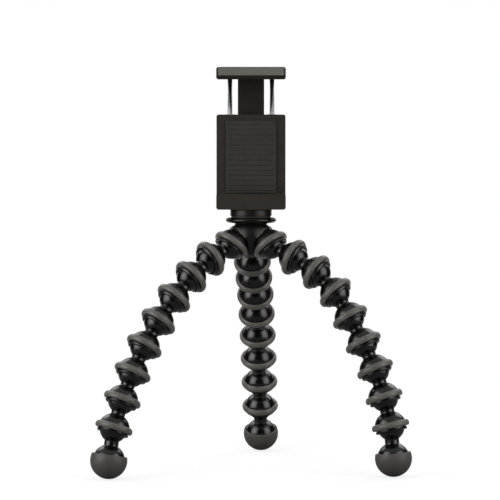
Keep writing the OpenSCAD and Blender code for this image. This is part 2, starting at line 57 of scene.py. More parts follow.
# Sizes are in millimetres and turns in degrees, up to the table and the room
MM = 0.001
LINK_PITCH = 18.3
BALL_R = 8.65
CUP_R = 8.75
DOME_R = 10.15
NECK_R = 4.5
RING_R = 12.0
RING_H = 3.6
RING_RISE = 0.7
RING_CROWN = 2.6
RING_TURN_UP = 60
RING_TURN_DOWN = 42
RING_LIP = 0.35
RING_BANDS = (33, 8)
BAND_GAP = 2
RING_NICK = 0.16
SEAT_R = 9.65
SEAT_GAP = 0.05
LIP_TOP = -1.9
LIP_BOTTOM = -3.25
LIP_ROUND = 2.2
LIP_ROUND_R = 8.1
LIP_ROUND_Z = -1.4
MOUTH_CUT = 0.7
MOULD_EDGE = 0.2
RUBBER_EDGE = 0.07
LINKS = 8
TURN_STEPS = 96
ON_AXIS = 1e-4
EASE_STEPS = 3
EASE_REACH = 8
EASE_FLAT = 0.008
EASE_SPAN = 1.6
TINY = 1e-9


def arc(centre_r, centre_z, radius, start, end, count=24):
    """Points on an arc in the turning plane, angles in degrees from +r towards +z."""
    turns = np.radians(np.linspace(start, end, count))
    return [(centre_r + radius * math.cos(t), centre_z + radius * math.sin(t)) for t in turns]


def eased(outline, ease):
    """The outline with its corners worn round by about ease millimetres, and few points where it is flat."""
    points = np.array(outline, float)
    lengths = np.concatenate([[0], np.cumsum(np.linalg.norm(np.diff(points, axis=0), axis=1))])
    step = ease / EASE_STEPS
    count = int(lengths[-1] / step) + 2
    along = np.linspace(0, lengths[-1], count)
    fine = np.stack([np.interp(along, lengths, points[:, i]) for i in range(2)], axis=1)
    weights = np.exp(-0.5 * (np.arange(-EASE_REACH, EASE_REACH + 1) * step / ease) ** 2)
    weights /= weights.sum()
    before = 2 * fine[:1] - fine[EASE_REACH:0:-1]
    after = 2 * fine[-1:] - fine[-2:-EASE_REACH - 2:-1]
    ends = np.concatenate([before, fine, after])
    soft = np.stack([np.convolve(ends[:, i], weights, "valid") for i in range(2)], axis=1)
    soft[0], soft[-1] = points[0], points[-1]
    kept = [0]
    while kept[-1] < count - 1:
        first = kept[-1]
        last = min(first + 2, count - 1)
        while last < count - 1:
            span = soft[last + 1] - soft[first]
            between = soft[first + 1:last + 1] - soft[first]
            off = np.abs(between[:, 0] * span[1] - between[:, 1] * span[0]) / max(np.linalg.norm(span), TINY)
            if off.max() > EASE_FLAT or np.linalg.norm(span) > EASE_SPAN:
                break
            last += 1
        kept.append(last)
    return [tuple(soft[i]) for i in kept]


def turned(name, outline, steps=TURN_STEPS):
    """A mesh turned round Z from an outline of (radius, height) in millimetres."""
    mesh = bpy.data.meshes.new(name)
    verts, rows = [], []
    for radius, height in outline:
        if radius < ON_AXIS:
            rows.append([len(verts)] * steps)
            verts.append((0.0, 0.0, height * MM))
        else:
            rows.append(list(range(len(verts), len(verts) + steps)))
            for i in range(steps):
                turn = 2 * math.pi * i / steps
                verts.append((radius * MM * math.cos(turn), radius * MM * math.sin(turn), height * MM))
    pairs = list(zip(rows, rows[1:]))
    if outline[0][0] > ON_AXIS and outline[-1][0] > ON_AXIS:
        pairs.append((rows[-1], rows[0]))
    faces = []
    for upper, lower in pairs:
        for i in range(steps):
            k = (i + 1) % steps
            corners = []
            for v in (upper[i], lower[i], lower[k], upper[k]):
                if v not in corners:
                    corners.append(v)
            if len(corners) > 2:
                faces.append(corners)
    mesh.from_pydata(verts, [], faces)
    work = bmesh.new()
    work.from_mesh(mesh)
    bmesh.ops.remove_doubles(work, verts=work.verts, dist=ON_AXIS * MM)
    bmesh.ops.recalc_face_normals(work, faces=work.faces)
    work.to_mesh(mesh)
    work.free()
    mesh.shade_smooth()
    return mesh


def linear(code):
    """An sRGB hex colour as the linear colour that the shader wants."""
    parts = [int(code[i:i + 2], 16) / 255 for i in (1, 3, 5)]
    return [p / 12.92 if p <= 0.04045 else ((p + 0.055) / 1.055) ** 2.4 for p in parts] + [1.0]


def add(tree, kind, settings, inputs):
    """Adds a node to a tree with its settings, and sets or links its inputs."""
    made = tree.nodes.new(kind)
    for key, value in settings.items():
        setattr(made, key, value)
    for key, value in inputs.items():
        if isinstance(value, bpy.types.NodeSocket):
            tree.links.new(value, made.inputs[key])
        else:
            made.inputs[key].default_value = value
    return made


def moulded(name, shade, wear_and_highlight_tone, roughness, grain_mm, depth_mm,
            patch_mm=9.0, gloss_change=0.06, ior=1.5, metallic=0.0, edge_wear_and_highlight=0.35):
    """A surface from a mould or a lathe: faint patches of colour, sharp edges painted lighter as wear and as
    a painted highlight, a grain and a changing gloss.

    Real grain is finer than a tenth of a millimetre and wouldn't show, so it is drawn 0.3 to 1.5 mm coarse.
    """
    made = bpy.data.materials.new(name)
    made.use_nodes = True
    tree = made.node_tree
    tree.nodes.clear()
    place = add(tree, "ShaderNodeTexCoord", {}, {})
    grain = add(tree, "ShaderNodeTexNoise", {}, {
        "Vector": place.outputs["Object"], "Scale": 1 / (grain_mm * MM), "Detail": 3.0, "Roughness": 0.6})
    patch = add(tree, "ShaderNodeTexNoise", {}, {
        "Vector": place.outputs["Object"], "Scale": 1 / (patch_mm * MM), "Detail": 4.0, "Roughness": 0.6})
    form = add(tree, "ShaderNodeNewGeometry", {}, {})
    # Sharp edges, found by pointiness, are painted lighter: wear, and where the share is large a painted
    # highlight
    edge = add(tree, "ShaderNodeMapRange", {}, {
        "Value": form.outputs["Pointiness"], "From Min": 0.51, "From Max": 0.58,
        "To Min": 0.0, "To Max": edge_wear_and_highlight})
    blend = add(tree, "ShaderNodeMath", {"operation": "ADD", "use_clamp": True}, {
        0: patch.outputs["Fac"], 1: edge.outputs["Result"]})
    colour = add(tree, "ShaderNodeMix", {"data_type": "RGBA"}, {
        0: blend.outputs[0], 6: linear(shade), 7: linear(wear_and_highlight_tone)})
    gloss = add(tree, "ShaderNodeMapRange", {}, {
        "Value": patch.outputs["Fac"], "From Min": 0.3, "From Max": 0.7,
        "To Min": roughness - gloss_change / 2, "To Max": roughness + gloss_change / 2})
    bump = add(tree, "ShaderNodeBump", {}, {
        "Strength": 1.0, "Distance": depth_mm * MM, "Height": grain.outputs["Fac"]})
    surface = add(tree, "ShaderNodeBsdfPrincipled", {}, {
        "Base Color": colour.outputs[2], "Roughness": gloss.outputs["Result"],
        "Normal": bump.outputs["Normal"], "IOR": ior, "Metallic": metallic})
    add(tree, "ShaderNodeOutputMaterial", {}, {"Surface": surface.outputs["BSDF"]})
    return made


def put(name, mesh, body, material, replaced=()):
    """Adds a finished piece that rides on a body and stands for the CAD nodes it replaces."""
    piece = bpy.data.objects.new(name, mesh)
    bpy.context.scene.collection.objects.link(piece)
    mesh.materials.clear()
    mesh.materials.append(material)
    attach(piece, body)
    if replaced:
        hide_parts(*replaced)


# Black ABS from a polished mould: dark, with soft-box reflections and only a faint orange peel
link_abs = moulded(
    "black_abs_polished", "#030202", "#080706", roughness=0.22, grain_mm=1.2, depth_mm=0.002,
    gloss_change=0.05, ior=1.55)
# Grey thermoplastic rubber from a sparked mould: matte and dusty, its sharp lips painted lighter as worn
# edges and as painted highlight lines
ring_rubber = moulded(
    "grey_rubber_matte", "#4b4945", "#67655f", roughness=0.36, grain_mm=0.3, depth_mm=0.01,
    patch_mm=5.0, gloss_change=0.08, edge_wear_and_highlight=0.6)

neck_top = -math.sqrt(BALL_R ** 2 - NECK_R ** 2)
neck_end = math.degrees(math.asin(neck_top / BALL_R))
dome_top = math.degrees(math.acos(NECK_R / DOME_R))
ring_top = RING_RISE + RING_H / 2
lip_start = math.degrees(math.asin((LIP_TOP - LIP_ROUND_Z) / LIP_ROUND))
lip_end = math.degrees(math.asin((LIP_BOTTOM - LIP_ROUND_Z) / LIP_ROUND))
mouth_r = math.sqrt(CUP_R ** 2 - LIP_BOTTOM ** 2)
cut_sum = mouth_r + MOUTH_CUT + LIP_BOTTOM
cut_z = (cut_sum - math.sqrt(2 * CUP_R ** 2 - cut_sum ** 2)) / 2
cut_turn = math.degrees(math.asin(cut_z / CUP_R))


def cup_wall(drop, dome_r, dome_start):
    """The outside of a cup from its dome down to the chamfered mouth, and its inside back up to the axis."""
    dome_low = math.degrees(math.asin((ring_top + SEAT_GAP) / dome_r))
    return (
        arc(0, drop, dome_r, dome_start, dome_low, count=44)
        + [(SEAT_R, drop + ring_top + SEAT_GAP), (SEAT_R, drop + LIP_TOP)]
        + arc(LIP_ROUND_R, drop + LIP_ROUND_Z, LIP_ROUND, lip_start, lip_end, count=16)
        + [(mouth_r + MOUTH_CUT, drop + LIP_BOTTOM)]
        + arc(0, drop, CUP_R, cut_turn, 90, count=40)
    )


def ring_section(drop):
    """The rubber ring's section, all round from the middle of its seat: a bead with a lip and two grooves."""
    inner = SEAT_R + SEAT_GAP
    middle = drop + RING_RISE
    on_dome = math.sqrt(DOME_R ** 2 - ring_top ** 2) + SEAT_GAP
    crown_r = RING_R - RING_CROWN
    lip_r = crown_r + RING_CROWN * math.cos(math.radians(RING_TURN_UP))
    lip_z = middle + RING_CROWN * math.sin(math.radians(RING_TURN_UP))
    crown = []
    steps = [RING_TURN_UP - 2 * BAND_GAP, *RING_BANDS, -RING_TURN_DOWN]
    for upper, lower in zip(steps, steps[1:]):
        crown += arc(crown_r, middle, RING_CROWN, upper - BAND_GAP, lower + BAND_GAP, count=8)
        crown += arc(crown_r, middle, RING_CROWN - RING_NICK, lower, lower, count=1)
    return (
        [(inner, middle), (inner, drop + ring_top), (on_dome, drop + ring_top)]
        + [(lip_r - RING_LIP, lip_z), (lip_r, lip_z)] + crown[:-1]
        + [(inner, middle - RING_H / 2), (inner, middle)]
    )


ball_side = arc(0, 0, BALL_R, 90, neck_end, count=50)
link_shell = turned("link_shell", eased(ball_side + cup_wall(-LINK_PITCH, DOME_R, dome_top), MOULD_EDGE))
link_ring = turned("link_ring", eased(ring_section(-LINK_PITCH), RUBBER_EDGE)[:-1])

# The ball centres of each leg, from the hub out, and the middle of its round foot
FOOT_PITCH = 19.7
FOOT_R = 11.6
legs = {}
for side in ("left", "right", "back"):
    balls = [Vector(j["pos_m"]) for j in frame["joints"] if j["name"].startswith(side)]
    outward = balls[-1] - balls[-2]
    outward.z = 0
    outward.normalize()
    fall = (balls[-1].z - FOOT_R * MM) / (FOOT_PITCH * MM)
    centre = balls[-1] + FOOT_PITCH * MM * (math.sqrt(1 - fall * fall) * outward - fall * Vector((0, 0, 1)))
    legs[side] = balls + [centre]


def new_tree(name, sockets):
    """A Geometry Nodes tree with named inputs, its entry node and one geometry output."""
    tree = bpy.data.node_groups.new(name, "GeometryNodeTree")
    for label, kind in sockets:
        tree.interface.new_socket(label, in_out="INPUT", socket_type="NodeSocket" + kind)
    tree.interface.new_socket("Geometry", in_out="OUTPUT", socket_type="NodeSocketGeometry")
    return tree, tree.nodes.new("NodeGroupInput")


def close_tree(tree, copies, finish):
    """Ends a tree in real, coated geometry."""
    solid = add(tree, "GeometryNodeRealizeInstances", {}, {"Geometry": copies})
    coated = add(tree, "GeometryNodeSetMaterial", {}, {
        "Geometry": solid.outputs["Geometry"], "Material": finish})
    add(tree, "NodeGroupOutput", {}, {"Geometry": coated.outputs["Geometry"]})


def baked(name, tree, points, edges, values, pattern=None):
    """Runs a tree on a few points and returns what it makes as a plain mesh."""
    base = bpy.data.meshes.new(name + "_base")
    base.from_pydata(points, edges, [])
    carrier = bpy.data.objects.new(name + "_base", base)
    helpers = [carrier]
    if pattern:
        values = dict(values, Pattern=bpy.data.objects.new(name + "_pattern", pattern))
        helpers.append(values["Pattern"])
    for helper in helpers:
        bpy.context.scene.collection.objects.link(helper)
    made = carrier.modifiers.new("nodes", "NODES")
    made.node_group = tree
    for item in tree.interface.items_tree:
        if item.in_out == "INPUT" and item.name in values:
            made[item.identifier] = values[item.name]
    seen = carrier.evaluated_get(bpy.context.evaluated_depsgraph_get())
    mesh = bpy.data.meshes.new_from_object(seen)
    mesh.name = name
    mesh.shade_smooth()
    for helper in helpers:
        bpy.data.objects.remove(helper)
    return mesh


# The links of a leg are strung on its ball centres: each copy turns to look from its own centre to the next
string_links, entry = new_tree("string_links_on_leg", [
    ("Geometry", "Geometry"), ("Pattern", "Object"), ("Keep", "Int"), ("Finish", "Material")])
index = add(string_links, "GeometryNodeInputIndex", {}, {})
here = add(string_links, "GeometryNodeInputPosition", {}, {})
following = add(string_links, "ShaderNodeMath", {"operation": "ADD"}, {0: index.outputs[0], 1: 1.0})
ahead = add(string_links, "GeometryNodeFieldAtIndex", {"data_type": "FLOAT_VECTOR"}, {
    "Index": following.outputs[0], "Value": here.outputs[0]})
back_up = add(string_links, "ShaderNodeVectorMath", {"operation": "SUBTRACT"}, {
    0: here.outputs[0], 1: ahead.outputs[0]})
look = add(string_links, "FunctionNodeAlignRotationToVector", {"axis": "Z"}, {"Vector": back_up.outputs[0]})
wanted = add(string_links, "FunctionNodeCompare", {"data_type": "INT", "operation": "EQUAL"}, {
    2: index.outputs[0], 3: entry.outputs["Keep"]})
pattern_info = add(string_links, "GeometryNodeObjectInfo", {}, {"Object": entry.outputs["Pattern"]})
copies = add(string_links, "GeometryNodeInstanceOnPoints", {}, {
    "Points": entry.outputs["Geometry"], "Selection": wanted.outputs[0],
    "Instance": pattern_info.outputs["Geometry"], "Rotation": look.outputs[0]})
close_tree(string_links, copies.outputs["Instances"], entry.outputs["Finish"])


def strung(name, points, pattern, keep, finish):
    """The copy of a pattern mesh that hangs at one ball centre of a leg."""
    edges = [(i, i + 1) for i in range(len(points) - 1)]
    return baked(name, string_links, points, edges, {"Keep": keep, "Finish": finish}, pattern)


for side, balls in legs.items():
    for k in range(1, LINKS + 1):
        body = "%s_link_%d" % (side, k)
        shell = strung(body + "_shell", balls, link_shell, k - 1, link_abs)
        put(body + "_shell", shell, body, link_abs, [body])
        ring = strung(body + "_ring", balls, link_ring, k - 1, ring_rubber)
        put(body + "_ring", ring, body, ring_rubber)

# Feet
# The last link of each leg ends in a round foot: an ABS core with a cap of the same soft rubber as the
# rings, moulded over its lower half so that the leg doesn't slide.
FOOT_RIM = 3.5
FOOT_CORE_R = 10.2
core_top = math.degrees(math.acos(NECK_R / FOOT_CORE_R))
core_side = ball_side + arc(0, -FOOT_PITCH, FOOT_CORE_R, core_top, -90, count=60)
cap_inner = FOOT_CORE_R + SEAT_GAP
cap_side = (
    arc(0, -FOOT_PITCH, FOOT_R, -90, math.degrees(math.asin(FOOT_RIM / FOOT_R)), count=60)
    + arc(0, -FOOT_PITCH, cap_inner, math.degrees(math.asin(FOOT_RIM / cap_inner)), -90, count=60)
)
# The same rubber as the rings, rougher and a shade darker
foot_rubber = moulded(
    "grey_rubber_darker", "#42403c", "#514f4b", roughness=0.5, grain_mm=0.3, depth_mm=0.014,
    patch_mm=6.0, gloss_change=0.12)
foot_core = turned("foot_core", eased(core_side, MOULD_EDGE))
foot_cap = turned("foot_cap", eased(cap_side, ease=0.16))
for side, balls in legs.items():
    body = side + "_foot"
    core = strung(body + "_core_shell", balls, foot_core, LINKS, link_abs)
    put(body + "_core_shell", core, body, link_abs, [body + "_core"])
    cap = strung(body + "_cap", balls, foot_cap, LINKS, foot_rubber)
    put(body + "_cap", cap, body, foot_rubber, [body + "_pad"])

# Hub
# One moulding in satin ABS: a core with a neck for the lock ring and a plain shield in front, and a dome
# over each leg's socket. Its sharp edges are worn soft, and a fine spark grain covers it.
HUB_Z = 142.981
SOCKET_SPREAD = 14.7
SOCKET_LEAN = math.radians(40)
SOCKET_TURNS = (("left", -120), ("right", 120), ("back", 0))
HUB_DOME_R = 10.35
BULGE_R = 12.7
BULGE_Z = 146.5
BULGE_CURVE = 15.0
FRONT_EDGE = 62
FRONT_BLEND = 22
DOME_CLEAR = 0.25
CAD_MERGE = 0.002
HUB_VOXEL = 0.3
HUB_SMOOTH = 4
# Black ABS with a spark-eroded grain: satin, with small sparkles and soft crease highlights
hub_abs = moulded(
    "black_abs_satin_grain", "#0b0b0b", "#161515", roughness=0.33, grain_mm=0.45, depth_mm=0.015,
    patch_mm=7.0, ior=1.4)


def reworked(mesh, steps):
    """A mesh after the named modifiers and their settings."""
    body = bpy.data.objects.new("rework", mesh)
    bpy.context.scene.collection.objects.link(body)
    for kind, settings in steps:
        made = body.modifiers.new(kind.lower(), kind)
        for key, value in settings.items():
            setattr(made, key, value)
    seen = body.evaluated_get(bpy.context.evaluated_depsgraph_get())
    result = bpy.data.meshes.new_from_object(seen)
    bpy.data.objects.remove(body)
    return result


sockets = {}
for side, degrees in SOCKET_TURNS:
    around = math.radians(degrees)
    turn = Matrix.Rotation(-around, 4, "Z") @ Matrix.Rotation(SOCKET_LEAN, 4, "X")
    spot = SOCKET_SPREAD * MM * Vector((math.sin(around), math.cos(around), 0))
    sockets[side] = Matrix.Translation(spot + Vector((0, 0, HUB_Z * MM))) @ turn


def whole_copy(name, flat_degrees=0):
    """A copy of a CAD node with its triangles joined, and made whole faces where they are nearly flat."""
    work = bmesh.new()
    work.from_mesh(frame["nodes"][name].data)
    bmesh.ops.remove_doubles(work, verts=work.verts, dist=CAD_MERGE * MM)
    if flat_degrees:
        flat = math.radians(flat_degrees)
        bmesh.ops.dissolve_limit(work, angle_limit=flat, verts=work.verts, edges=work.edges)
    mesh = bpy.data.meshes.new(name + "_copy")
    work.to_mesh(mesh)
    work.free()
    return mesh


hub_mesh = reworked(whole_copy("hub"), [
    ("REMESH", {"mode": "VOXEL", "voxel_size": HUB_VOXEL * MM, "use_smooth_shade": True})])


def bulge_at(height):
    """The radius of the hub's front at a height."""
    return BULGE_R - (height - BULGE_Z) ** 2 / (2 * BULGE_CURVE)


def off_domes(place):
    """Whether a point is outside the domes, so that it is on neither a dome nor the hollow of a socket."""
    return all((at.inverted() @ place).length / MM - HUB_DOME_R > DOME_CLEAR for at in sockets.values())


# The shield is drawn back to its bulge, less and less towards its sides
for vert in hub_mesh.vertices:
    spot = vert.co / MM
    radius = math.hypot(spot.x, spot.y)
    bulge = bulge_at(spot.z)
    off_front = math.degrees(math.atan2(abs(spot.x), -spot.y))
    facing = min(1.0, max(0.0, (FRONT_EDGE - off_front) / FRONT_BLEND))
    if radius > bulge and facing > 0 and off_domes(vert.co):
        vert.co.xy *= 1 + facing * facing * (3 - 2 * facing) * (bulge / radius - 1)
hub_mesh = reworked(hub_mesh, [("SMOOTH", {"factor": 0.5, "iterations": HUB_SMOOTH})])
hub_mesh.shade_smooth()
put("hub_shell", hub_mesh, "hub", hub_abs, ["hub"])

# A thin moulded bead runs along the shield's edges, from each shoulder down beside the front and under it.
# Its light grey is a painted highlight of those creases. Its path is found on the hub's skin, looking at it
# from the front.
BEAD_R = 0.28
BEAD_START = [(11.7, 154.8), (10.8, 154.9), (9.8, 154.7), (8.8, 154.3), (8.0, 153.7)]
BEAD_LOW = 146.6
BEAD_HALF = 3.6
BEAD_SINK = 0.35
BEAD_STEP = 0.6
BEAD_SEEK = 0.1
BEAD_NEAR = 3
BEAD_SLACK = 0.3
BEAD_SMOOTH = 4
UNDER_DROP = 10
UNDER_FRONT = -8
LOOK_FROM = -40
# The same ABS, painted light grey along the bead as a painted highlight
bead_highlight_paint = moulded(
    "bead_painted_highlight", "#6d6965", "#827e79", roughness=0.3, grain_mm=0.3, depth_mm=0.004,
    patch_mm=2.0)
bead_on_path, entry = new_tree("bead_on_path", [
    ("Geometry", "Geometry"), ("Radius", "Float"), ("Finish", "Material")])
path = add(bead_on_path, "GeometryNodeMeshToCurve", {}, {"Mesh": entry.outputs["Geometry"]})
fine_path = add(bead_on_path, "GeometryNodeResampleCurve", {}, {"Curve": path.outputs[0], "Count": 40})
bead_round = add(bead_on_path, "GeometryNodeCurvePrimitiveCircle", {}, {
    "Resolution": 12, "Radius": entry.outputs["Radius"]})
bead = add(bead_on_path, "GeometryNodeCurveToMesh", {}, {
    "Curve": fine_path.outputs[0], "Profile Curve": bead_round.outputs[0], "Fill Caps": True})
close_tree(bead_on_path, bead.outputs[0], entry.outputs["Finish"])
hub_skin = BVHTree.FromPolygons(
    [v.co for v in hub_mesh.vertices], [tuple(p.vertices) for p in hub_mesh.polygons])


def on_front(x, z):
    """The first point of the hub behind a place seen from the front, or None where it looks past the hub."""
    return hub_skin.ray_cast(Vector((x * MM, LOOK_FROM * MM, z * MM)), Vector((0, 1, 0)))[0]


bead_paths = {}
for side, way in (("left", -1), ("right", 1)):
    spots = [on_front(way * x, z) for x, z in BEAD_START]
    spots[0].y += BEAD_SINK * MM
    for z in np.arange(BEAD_START[-1][1] - BEAD_STEP, BEAD_LOW, -BEAD_STEP):
        for x in np.arange(BEAD_START[-1][0], BEAD_NEAR, -BEAD_SEEK):
            hit = on_front(way * x, z)
            if math.hypot(hit.x, hit.y) / MM > bulge_at(z) - BEAD_SLACK and off_domes(hit):
                spots.append(hit)
                break
    spots[-1].y += BEAD_SINK * MM
    bead_paths[side] = spots
bead_paths["low"] = []
for x in np.arange(-BEAD_HALF, BEAD_HALF + BEAD_SEEK, BEAD_STEP):
    for z in np.arange(HUB_Z - UNDER_DROP, HUB_Z, BEAD_SEEK):
        hit = on_front(x, z)
        if hit and hit.y < UNDER_FRONT * MM:
            bead_paths["low"].append(hit)
            break
for side, spots in bead_paths.items():
    for _ in range(BEAD_SMOOTH):
        spots[1:-1] = [(a + 2 * b + c) / 4 for a, b, c in zip(spots, spots[1:], spots[2:])]
    edges = [(i, i + 1) for i in range(len(spots) - 1)]
    values = {"Radius": BEAD_R * MM, "Finish": bead_highlight_paint}
    mesh = baked("hub_bead_" + side, bead_on_path, spots, edges, values)
    put("hub_bead_" + side, mesh, "hub", bead_highlight_paint)


# Hub sockets and their rings
# The cups that the first links snap into are the same as a link's cup, moulded into the hub, with the
# same rubber ring round each.
def moved(mesh, matrix):
    """A copy of a mesh, moved as the matrix says."""
    copy = mesh.copy()
    copy.transform(matrix)
    return copy


socket_cup = turned("socket_cup", eased(cup_wall(0, SEAT_R, 90)[:-1] + [(0, CUP_R)], MOULD_EDGE))
socket_ring = turned("socket_ring", eased(ring_section(0), RUBBER_EDGE)[:-1])
for side, at in sockets.items():
    put("hub_socket_" + side, moved(socket_cup, at), "hub", link_abs)
    put("hub_ring_" + side, moved(socket_ring, at), "hub", ring_rubber,
        ["hub_grip_rings"] if side == "left" else [])


# Camera screw
# Zinc-plated steel screw with a hexagon head that sits in the hub. The lock ring and the base turn on it.
def finish(node, material):
    """Gives a CAD node that stays its material."""
    cad = frame["nodes"][node]
    cad.data.materials.clear()
    cad.data.materials.append(material)


# Zinc plate: bright, slightly milky metal
plated = moulded(
    "zinc_plated_steel", "#a6a6a8", "#c2c2c2", roughness=0.3, grain_mm=0.5, depth_mm=0.001,
    patch_mm=3.0, gloss_change=0.12, metallic=1.0)
finish("mount_screw", plated)

# Lock ring
# Glossy ABS disc with a lens-shaped edge. It turns on the camera screw and jams the base at any angle.
STUD_R = 3.175
LOCK_Z = 156.731
LOCK_H = 4.0
LOCK_R = 16.15
RIM_DEPTH = 2.6
RIM_HALF = 1.75
RIM_SHARE = 0.55
RIM_START = -80
RIM_END = 72
LOW_FLAT_R = 10.3
SLOPE_R = 12.4
SLOPE_RISE = 0.5
STEP_R = 13.5
STEP_DROP = 0.2
TOP_FLAT_R = 13.2
BORE_R = STUD_R + SEAT_GAP
lock_mid = LOCK_Z + LOCK_H / 2
lock_top = LOCK_Z + LOCK_H
rim_z = LOCK_Z + RIM_SHARE * LOCK_H
rim = arc(0, 0, 1, RIM_START, RIM_END)
lock_side = (
    [(BORE_R, lock_mid), (BORE_R, LOCK_Z), (LOW_FLAT_R, LOCK_Z), (SLOPE_R, LOCK_Z + SLOPE_RISE)]
    + [(LOCK_R - RIM_DEPTH + RIM_DEPTH * r, rim_z + RIM_HALF * z) for r, z in rim]
    + [(STEP_R, lock_top - STEP_DROP), (TOP_FLAT_R, lock_top), (BORE_R, lock_top), (BORE_R, lock_mid)]
)
# Black ABS from a mirror-polished mould: deep black with clear reflections of the lamps along its rim
lock_abs = moulded(
    "black_abs_gloss", "#050504", "#0c0b0a", roughness=0.2, grain_mm=1.5, depth_mm=0.0015,
    gloss_change=0.05, ior=1.4)
lock_disc = turned("lock_ring_disc", eased(lock_side, ease=0.22)[:-1], steps=160)
put("lock_ring_disc", lock_disc, "lock_ring", lock_abs, ["lock_ring"])

# Base
# Round satin ABS base with a brass thread moulded in and a thin rubber disc under it. Two ears at its
# back carry the tilt hinge. Its edges have the small radius of the mould.
FLAT_DEGREES = 0.8
SHARP_DEGREES = 28.0


def softened(mesh, edge_mm, sharp=SHARP_DEGREES):
    """A mesh with its sharp edges rounded and its flat faces still flat."""
    mesh.shade_smooth()
    return reworked(mesh, [
        ("BEVEL", {
            "width": edge_mm * MM, "segments": 3, "limit_method": "ANGLE", "angle_limit": math.radians(sharp),
            "miter_outer": "MITER_ARC", "use_clamp_overlap": True, "loop_slide": False}),
        ("WEIGHTED_NORMAL", {"weight": 60, "keep_sharp": True}),
    ])


def rounded(name, edge_mm):
    """A copy of a CAD node with its faces whole and its sharp edges rounded."""
    return softened(whole_copy(name, FLAT_DEGREES), edge_mm)


# Satin ABS: a little grain and wide soft highlights
base_abs = moulded(
    "black_abs_satin", "#0f0a08", "#1a1411", roughness=0.36, grain_mm=0.4, depth_mm=0.006,
    patch_mm=8.0, ior=1.35)
# Black rubber cut from sheet: a dull, slightly dusty black
pad_rubber = moulded(
    "black_rubber_sheet", "#1c1b1a", "#2a2927", roughness=0.62, grain_mm=0.35, depth_mm=0.012,
    patch_mm=6.0)
# Brass as it comes off the lathe: warm yellow and fairly bright
brass = moulded(
    "turned_brass", "#b08a48", "#c9a45e", roughness=0.28, grain_mm=0.4, depth_mm=0.002,
    patch_mm=3.0, metallic=1.0)
put("base_body", rounded("base", edge_mm=0.35), "base", base_abs, ["base"])
finish("base_insert", brass)
finish("base_pad", pad_rubber)

# Tilt bolt and washers
# Steel bolt with a low round head and a hexagon socket, pressed through the ears, with a washer on each
# side of the knuckle.
TILT_Y = 23.0
TILT_Z = 173.981
HEAD_X = -9.5
HEAD_R = 3.6
HEAD_H = 2.2
HEAD_ROUND = 0.9
BOLT_R = 2.0
BOLT_END = 13.2
BOLT_CUT = 0.3
SOCKET_HEX_R = 1.75
SOCKET_DEPTH = 1.3
CUT_PAST = 1


def carved(base, cutters):
    """A mesh with others cut out of it, as solids."""
    body = bpy.data.objects.new("carved_body", base)
    bpy.context.scene.collection.objects.link(body)
    helpers = [body]
    for cutter in cutters:
        tool = bpy.data.objects.new("cutter", cutter)
        bpy.context.scene.collection.objects.link(tool)
        helpers.append(tool)
        step = body.modifiers.new("carve", "BOOLEAN")
        step.operation = "DIFFERENCE"
        step.solver = "EXACT"
        step.object = tool
    seen = body.evaluated_get(bpy.context.evaluated_depsgraph_get())
    mesh = bpy.data.meshes.new_from_object(seen)
    for helper in helpers:
        bpy.data.objects.remove(helper)
    return mesh


# Steel blackened in hot salts: dark metal with a soft shine
black_steel = moulded(
    "blackened_steel", "#2e2e30", "#48484a", roughness=0.34, grain_mm=0.4, depth_mm=0.002,
    patch_mm=2.5, metallic=1.0)
along_x = Matrix.Translation((0, TILT_Y * MM, TILT_Z * MM)) @ Matrix.Rotation(math.radians(90), 4, "Y")
head_end = HEAD_X - HEAD_H
bolt_side = (
    [(0, head_end), (HEAD_R - HEAD_ROUND, head_end)]
    + arc(HEAD_R - HEAD_ROUND, head_end + HEAD_ROUND, HEAD_ROUND, -90, 0, count=8)
    + [(HEAD_R, HEAD_X), (BOLT_R, HEAD_X)]
    + [(BOLT_R, BOLT_END - BOLT_CUT), (BOLT_R - BOLT_CUT, BOLT_END), (0, BOLT_END)]
)
bolt_mesh = turned("tilt_bolt_body", bolt_side, steps=64)
hex_side = [
    (0, head_end - CUT_PAST), (SOCKET_HEX_R, head_end - CUT_PAST),
    (SOCKET_HEX_R, head_end + SOCKET_DEPTH), (0, head_end + SOCKET_DEPTH)]
bolt_mesh = carved(bolt_mesh, [turned("hex", hex_side, steps=6)])
bolt_mesh = moved(softened(bolt_mesh, edge_mm=0.08, sharp=40), along_x)
put("tilt_bolt_body", bolt_mesh, "base", black_steel, ["tilt_bolt"])
finish("tilt_washers", plated)

# Tilt knob
# Fluted ABS knob that screws onto the bolt and clamps the tilt. A glossy face with a raised rim is set
# into its end.
KNOB_END = 16.7
KNOB_FACE_R = 3.7
FACE_SINK = 0.3
FACE_PROUD = 0.35
FACE_RIM = 0.5
FACE_SLOPE = 0.9
FACE_DISH = 0.05
knob_mesh = rounded("tilt_knob", edge_mm=0.45)
face_side = [
    (0, KNOB_END - FACE_SINK), (KNOB_FACE_R, KNOB_END - FACE_SINK), (KNOB_FACE_R, KNOB_END + FACE_PROUD),
    (KNOB_FACE_R - FACE_RIM, KNOB_END + FACE_PROUD), (KNOB_FACE_R - FACE_SLOPE, KNOB_END + FACE_DISH),
    (0, KNOB_END + FACE_DISH),
]
face_mesh = moved(turned("tilt_knob_face", eased(face_side, ease=0.09), steps=64), along_x)
put("tilt_knob_body", knob_mesh, "tilt_knob", base_abs, ["tilt_knob"])
put("tilt_knob_face", face_mesh, "tilt_knob", lock_abs)

# Clamp housing
# Housing, lower jaw and hinge knuckle in one moulding of warm dark ABS with a matte texture. What is
# clamped stands on the lower jaw and leans on the housing.

# Matte ABS: brownish grey with a dry, fine texture
jaw_abs = moulded(
    "warm_abs_matte", "#282420", "#322d28", roughness=0.55, grain_mm=0.35, depth_mm=0.012,
    patch_mm=10.0, ior=1.3)
put("clamp_body", rounded("clamp_housing", edge_mm=0.45), "clamp", jaw_abs, ["clamp_housing"])

